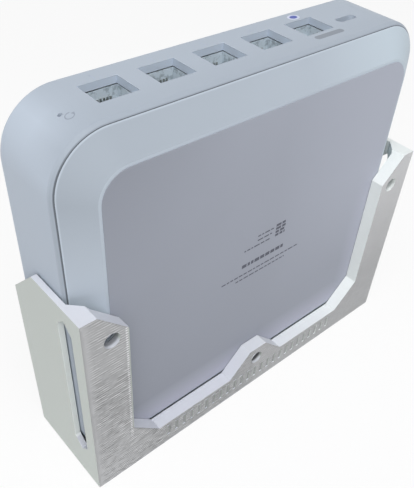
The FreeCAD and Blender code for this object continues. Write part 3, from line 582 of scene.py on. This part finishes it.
def printed_bracket():
    """The bracket with soft edges, and the rough strands of its wall-side face cut in."""
    piece, mesh = copy_of("wall_bracket_printed", "wall_bracket")
    low_box, high_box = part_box("wall_bracket")
    near = low_box[Y]
    soften(mesh, BRACKET_EDGE_MM, 28.0)
    faces = [f for f in mesh.faces if f.normal.y < -0.999
             and abs(f.calc_center_median().y - near) < SAME_PLACE_MM * MM]
    faces = cut_face(mesh, faces, Z, 0.0, high_box[Z], LAYER_MM * MM)
    faces = cut_face(mesh, faces, X, low_box[X], high_box[X], STRAND_MM * MM)
    depths = {}
    done = set()
    last_column = round((high_box[X] - low_box[X]) / (STRAND_MM * MM))
    for face in faces:
        face.smooth = False
        for vert in face.verts:
            if vert in done:
                continue
            done.add(vert)
            row = round(vert.co.z / (LAYER_MM * MM))
            column = round((vert.co.x - low_box[X]) / (STRAND_MM * MM))
            if (row, column) not in depths:
                depths[row, column] = strand_depth(row, column, last_column, vert.co.x > 0)
            vert.co.y += depths[row, column]
    put(piece, mesh, "bracket", slot_materials["bracket_print"],
        "wall_bracket")
    steady_normals(piece)


# ---------------------------------------------------------------- case
SHELL_EDGE_MM = 0.35        # rounding of the edges in the port face
SEAM_Y_MM = -8.0            # where the shell ends, at the seam
SEAM_FILL_MM = 0.09         # the shell's end is let out this much, to narrow the seam
PANEL_EDGE_MM = 0.08        # rounding of the panel's edge
PANEL_FILL_MM = 0.13        # the panel's edge is let out this much, to close its gap


def soft_shell():
    """Shell with the edges of its openings eased."""
    shell, mesh = copy_of("main_shell_eased", "main_shell")
    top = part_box("main_shell")[1][Z]

    def in_port_face(edge):
        return all(abs(v.co.z - top) < SAME_PLACE_MM * MM for v in edge.verts)

    soften(mesh, SHELL_EDGE_MM, segments=3, pick=in_port_face)
    for vert in mesh.verts:
        if abs(vert.co.y - SEAM_Y_MM * MM) < SAME_PLACE_MM * MM:
            vert.co.y -= SEAM_FILL_MM * MM
    put(shell, mesh, "gateway", slot_materials["shell_white"], "main_shell")
    steady_normals(shell)


def soft_panel():
    """Panel that fills its recess, with its edge eased."""
    panel, mesh = copy_of("base_panel_eased", "base_panel")
    low_box, high_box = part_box("base_panel")
    middle = (low_box + high_box) / 2
    half = (high_box - low_box) / 2
    for vert in mesh.verts:
        for axis in (X, Z):
            out = (vert.co[axis] - middle[axis]) / half[axis]
            vert.co[axis] += out * PANEL_FILL_MM * MM
    soften(mesh, PANEL_EDGE_MM)
    put(panel, mesh, "gateway", slot_materials["panel_grey"], "base_panel")
    steady_normals(panel)


# ---------------------------------------------------------------- outlines of prints
def circle_points(u, v, radius_u, radius_v, count=40):
    turns = [2 * math.pi * i / count for i in range(count)]
    return [(u + radius_u * math.cos(a), v + radius_v * math.sin(a)) for a in turns]


def arc_band(u, v, inner, outer, start, end, count=36):
    """Part of a flat ring, between two angles in degrees."""
    turns = [math.radians(start + (end - start) * i / count) for i in range(count + 1)]
    outside = [(u + outer * math.cos(a), v + outer * math.sin(a)) for a in turns]
    inside = [(u + inner * math.cos(a), v + inner * math.sin(a)) for a in reversed(turns)]
    return outside + inside


def pill_points(u0, v0, u1, v1, count=10):
    """Bar with round ends."""
    radius = (v1 - v0) / 2
    middle = (v0 + v1) / 2
    turns = [math.pi * i / count for i in range(count + 1)]
    right = [(u1 - radius + radius * math.sin(a), middle - radius * math.cos(a)) for a in turns]
    left = [(u0 + radius - radius * math.sin(a), middle + radius * math.cos(a)) for a in turns]
    return right + left


def bar_points(u0, v0, u1, v1):
    """Bar with square ends."""
    return [(u0, v0), (u1, v0), (u1, v1), (u0, v1)]


def stroke(points, width):
    """Outline of a line of even width through (u, v) points."""
    left, right = [], []
    for index, (u, v) in enumerate(points):
        before = points[max(index - 1, 0)]
        after = points[min(index + 1, len(points) - 1)]
        du, dv = after[0] - before[0], after[1] - before[1]
        size = math.hypot(du, dv)
        left.append((u - dv / size * width / 2, v + du / size * width / 2))
        right.append((u + dv / size * width / 2, v - du / size * width / 2))
    return left + right[::-1]


# ---------------------------------------------------------------- prints
PRINT_T = 0.02              # a print stands this high, in millimetres
CORNER_MM = 17.2            # radius of the case's corners
INK_ROUGH, INK_GRAIN_MM, INK_RELIEF_MM = 0.5, 0.2, 0.004
GLOSSY_INK_ROUGH = 0.4

# Places and sizes in the port face, as (across, towards the room), in millimetres
RESET_RING = {"u": -58.95, "v": 0.1, "inner": 1.0, "outer": 1.28, "start": 60, "end": 350}
RESET_ARROW = [(-57.4, 0.45), (-57.95, -0.5), (-58.3, 0.6)]
STATUS_AT = (30.0, 12.75)
STATUS_SIZE = (1.45, 1.05)
HALO_SIZE = (2.3, 1.75)
PORT_BAR = (23.6, -3.7, 36.2, -1.5)
DIGIT_V = 12.55
DIGIT_WIDTH = 0.28
DIGITS = {                  # plain numbers beside the sockets: place, and points of the line
    -44.7: [(-0.5, 0.7), (0.0, 1.1), (0.0, -1.1)],
    -26.25: [(-0.6, 0.7), (-0.1, 1.1), (0.5, 0.8), (0.5, 0.2), (-0.6, -1.1), (0.6, -1.1)],
    -7.8: [(-0.6, 1.1), (0.55, 1.1), (0.0, 0.25), (0.55, -0.2), (0.5, -0.8), (0.0, -1.1),
           (-0.6, -0.8)],
    10.65: [(0.3, -1.1), (0.3, 1.1), (-0.7, -0.4), (0.7, -0.4)],
}
PANEL_ROWS = (              # height, start, end and size of each plain row, in millimetres
    (59.2, -17.6, 19.2, 0.5),
    (57.2, -11.1, 12.4, 0.5),
    (62.5, -8.8, 11.2, 1.4),
    (69.6, -8.5, 3.5, 0.5),
    (71.6, -2.7, 4.0, 0.5),
    (73.4, -2.7, 4.6, 0.5),
    (69.4, 5.8, 10.4, 1.0),
    (70.8, 5.8, 10.4, 1.0),
    (72.2, 5.8, 10.4, 1.0),
    (73.6, 5.8, 10.4, 1.0),
)
DASH_MM = (0.7, 1.9)        # shortest dash of a row, and what may be added to it
DASH_GAP_MM = 0.5


def ink(name, colour, rough=INK_ROUGH, spread=0.04):
    return moulded(name, colour, rough, INK_GRAIN_MM, INK_RELIEF_MM, spread)


def flat_piece(name, outlines, place, across, up, material):
    """Thin raised prints from outlines of (u, v) points in millimetres."""
    piece = new_object(name)
    mesh = bmesh.new()
    out = across.cross(up)
    for outline in outlines:
        ring = [mesh.verts.new(place + (across * u + up * v) * MM) for u, v in outline]
        face = mesh.faces.new(ring)
        if face.normal.dot(out) < 0:
            face.normal_flip()
        raised = bmesh.ops.extrude_face_region(mesh, geom=[face])
        for item in raised["geom"]:
            if isinstance(item, bmesh.types.BMVert):
                item.co += out * PRINT_T * MM
    bmesh.ops.recalc_face_normals(mesh, faces=mesh.faces)
    put(piece, mesh, "gateway", material)
    return piece


def lay_on_corner(piece):
    """Bend a flat print of the port face down onto the case's round corner."""
    corner_r = CORNER_MM * MM
    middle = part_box("main_shell")[0][X] + corner_r
    for vert in piece.data.vertices:
        past = middle - vert.co.x
        if past > 0:
            vert.co.z -= corner_r - math.sqrt(corner_r ** 2 - past ** 2)


def port_prints():
    """Plain marks on the port face."""
    face = Vector((0.0, 0.0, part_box("main_shell")[1][Z]))
    above_halo = face + Vector((0.0, 0.0, PRINT_T * MM))

    def on_port(name, outlines, material, place=face):
        return flat_piece(name, outlines, place, Vector((1, 0, 0)), Vector((0, 1, 0)),
                          material)

    grey = ink("ink_grey", (0.26, 0.29, 0.335))
    ring_ink = ink("ink_ring", (0.30, 0.335, 0.40))
    faint = ink("ink_faint", (0.44, 0.50, 0.60))
    blue = ink("ink_blue", (0.07, 0.10, 0.40), GLOSSY_INK_ROUGH, 0.06)
    pale = ink("ink_pale", (0.62, 0.66, 0.80), GLOSSY_INK_ROUGH, 0.03)
    lay_on_corner(on_port("reset_mark", [arc_band(**RESET_RING), RESET_ARROW], ring_ink))
    on_port("status_halo", [circle_points(*STATUS_AT, *HALO_SIZE)], pale)
    on_port("status_mark", [circle_points(*STATUS_AT, *STATUS_SIZE)], blue, above_halo)
    on_port("port_bar", [pill_points(*PORT_BAR)], grey)
    strokes = []
    for x, line in DIGITS.items():
        strokes.append(stroke([(x + u, DIGIT_V + v) for u, v in line], DIGIT_WIDTH))
    on_port("port_digits", strokes, faint)


def panel_prints():
    """Faint rows of plain dashes on the panel."""
    rows = []
    for z, start, end, height in PANEL_ROWS:
        u = start
        while u < end:
            length = DASH_MM[0] + rng.random() * DASH_MM[1]
            rows.append(bar_points(u, z, min(u + length, end), z + height))
            u += length + DASH_GAP_MM
    wall = Vector((0.0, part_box("base_panel")[0][Y], 0.0))
    flat_piece("panel_rows", rows, wall, Vector((1, 0, 0)), Vector((0, 0, 1)),
               ink("ink_rows", (0.10, 0.105, 0.135)))


printed_bracket()
soft_shell()
soft_panel()
port_prints()
panel_prints()


# ---------------------------------------------------------------- floor, light and camera
FLOOR_SIZE = 12.0
FLOOR_GREY = 0.9
FLOOR_ROUGH = 0.9
FLOOR_WHITE = 0.86          # share of plain white where the floor is seen as background
WORLD_TINT = (0.97, 0.98, 1.0)
WORLD_STRENGTH = 0.267
LAMP_TARGET = (0.0, 0.0, 0.06)
CAMERA_PLACE = (-0.12440, -0.11970, 0.20318)
CAMERA_TURN = (46.9838, -3.8271, -41.7024)     # degrees
LENS_MM, SENSOR_MM = 46.4115, 36.0
CAMERA_SHIFT = (-0.0329, 0.0708)


def white_where_seen(tree, first, output, white_kind, share_seen):
    """Blend plain white over a shader, for rays that show it as background."""
    path = tree.nodes.new("ShaderNodeLightPath")
    seen = path.outputs["Is Camera Ray"]
    for kind in ("Is Glossy Ray", "Is Transmission Ray"):
        larger = tree.nodes.new("ShaderNodeMath")
        larger.operation = "MAXIMUM"
        tree.links.new(seen, larger.inputs[0])
        tree.links.new(path.outputs[kind], larger.inputs[1])
        seen = larger.outputs["Value"]
    share = tree.nodes.new("ShaderNodeMath")
    share.operation = "MULTIPLY"
    share.inputs[1].default_value = share_seen
    tree.links.new(seen, share.inputs[0])
    white = tree.nodes.new(white_kind)
    white.inputs["Color"].default_value = (1.0, 1.0, 1.0, 1.0)
    white.inputs["Strength"].default_value = 1.0
    blend = tree.nodes.new("ShaderNodeMixShader")
    tree.links.new(share.outputs["Value"], blend.inputs["Fac"])
    tree.links.new(first, blend.inputs[1])
    tree.links.new(white.outputs[0], blend.inputs[2])
    tree.links.new(blend.outputs["Shader"], tree.nodes[output].inputs["Surface"])


def floor():
    bpy.ops.mesh.primitive_plane_add(size=FLOOR_SIZE)
    plane = bpy.context.object
    plane.name = "floor"
    material = bpy.data.materials.new("floor_pale")
    material.use_nodes = True
    tree = material.node_tree
    shader = tree.nodes["Principled BSDF"]
    shader.inputs["Base Color"].default_value = (FLOOR_GREY, FLOOR_GREY, FLOOR_GREY, 1.0)
    shader.inputs["Roughness"].default_value = FLOOR_ROUGH
    white_where_seen(tree, shader.outputs["BSDF"], "Material Output",
                     "ShaderNodeEmission", FLOOR_WHITE)
    plane.data.materials.append(material)


def world():
    settings = bpy.data.worlds.new("studio")
    bpy.context.scene.world = settings
    settings.use_nodes = True
    tree = settings.node_tree
    back = tree.nodes["Background"]
    back.inputs["Color"].default_value = (*WORLD_TINT, 1.0)
    back.inputs["Strength"].default_value = WORLD_STRENGTH
    white_where_seen(tree, back.outputs["Background"], "World Output",
                     "ShaderNodeBackground", 1.0)


def soft_light(name, place, size, power):
    data = bpy.data.lights.new(name, "AREA")
    data.shape = "SQUARE"
    data.size = size
    data.energy = power
    lamp = bpy.data.objects.new(name, data)
    bpy.context.scene.collection.objects.link(lamp)
    lamp.location = place
    aim = Vector(LAMP_TARGET) - Vector(place)
    lamp.rotation_euler = aim.to_track_quat("-Z", "Y").to_euler()


def camera():
    data = bpy.data.cameras.new("photo_camera")
    data.sensor_width = SENSOR_MM
    data.lens = LENS_MM
    data.shift_x, data.shift_y = CAMERA_SHIFT
    data.clip_start = 0.01
    eye = bpy.data.objects.new("photo_camera", data)
    bpy.context.scene.collection.objects.link(eye)
    eye.location = CAMERA_PLACE
    eye.rotation_euler = [math.radians(a) for a in CAMERA_TURN]
    bpy.context.scene.camera = eye


floor()
world()
soft_light("lamp_key", place=(-0.25, -0.55, 1.05), size=0.9, power=10.1)
soft_light("lamp_left", place=(-0.7, -0.1, 0.95), size=0.8, power=2.8)
camera()
bpy.context.scene.view_settings.view_transform = "Standard"
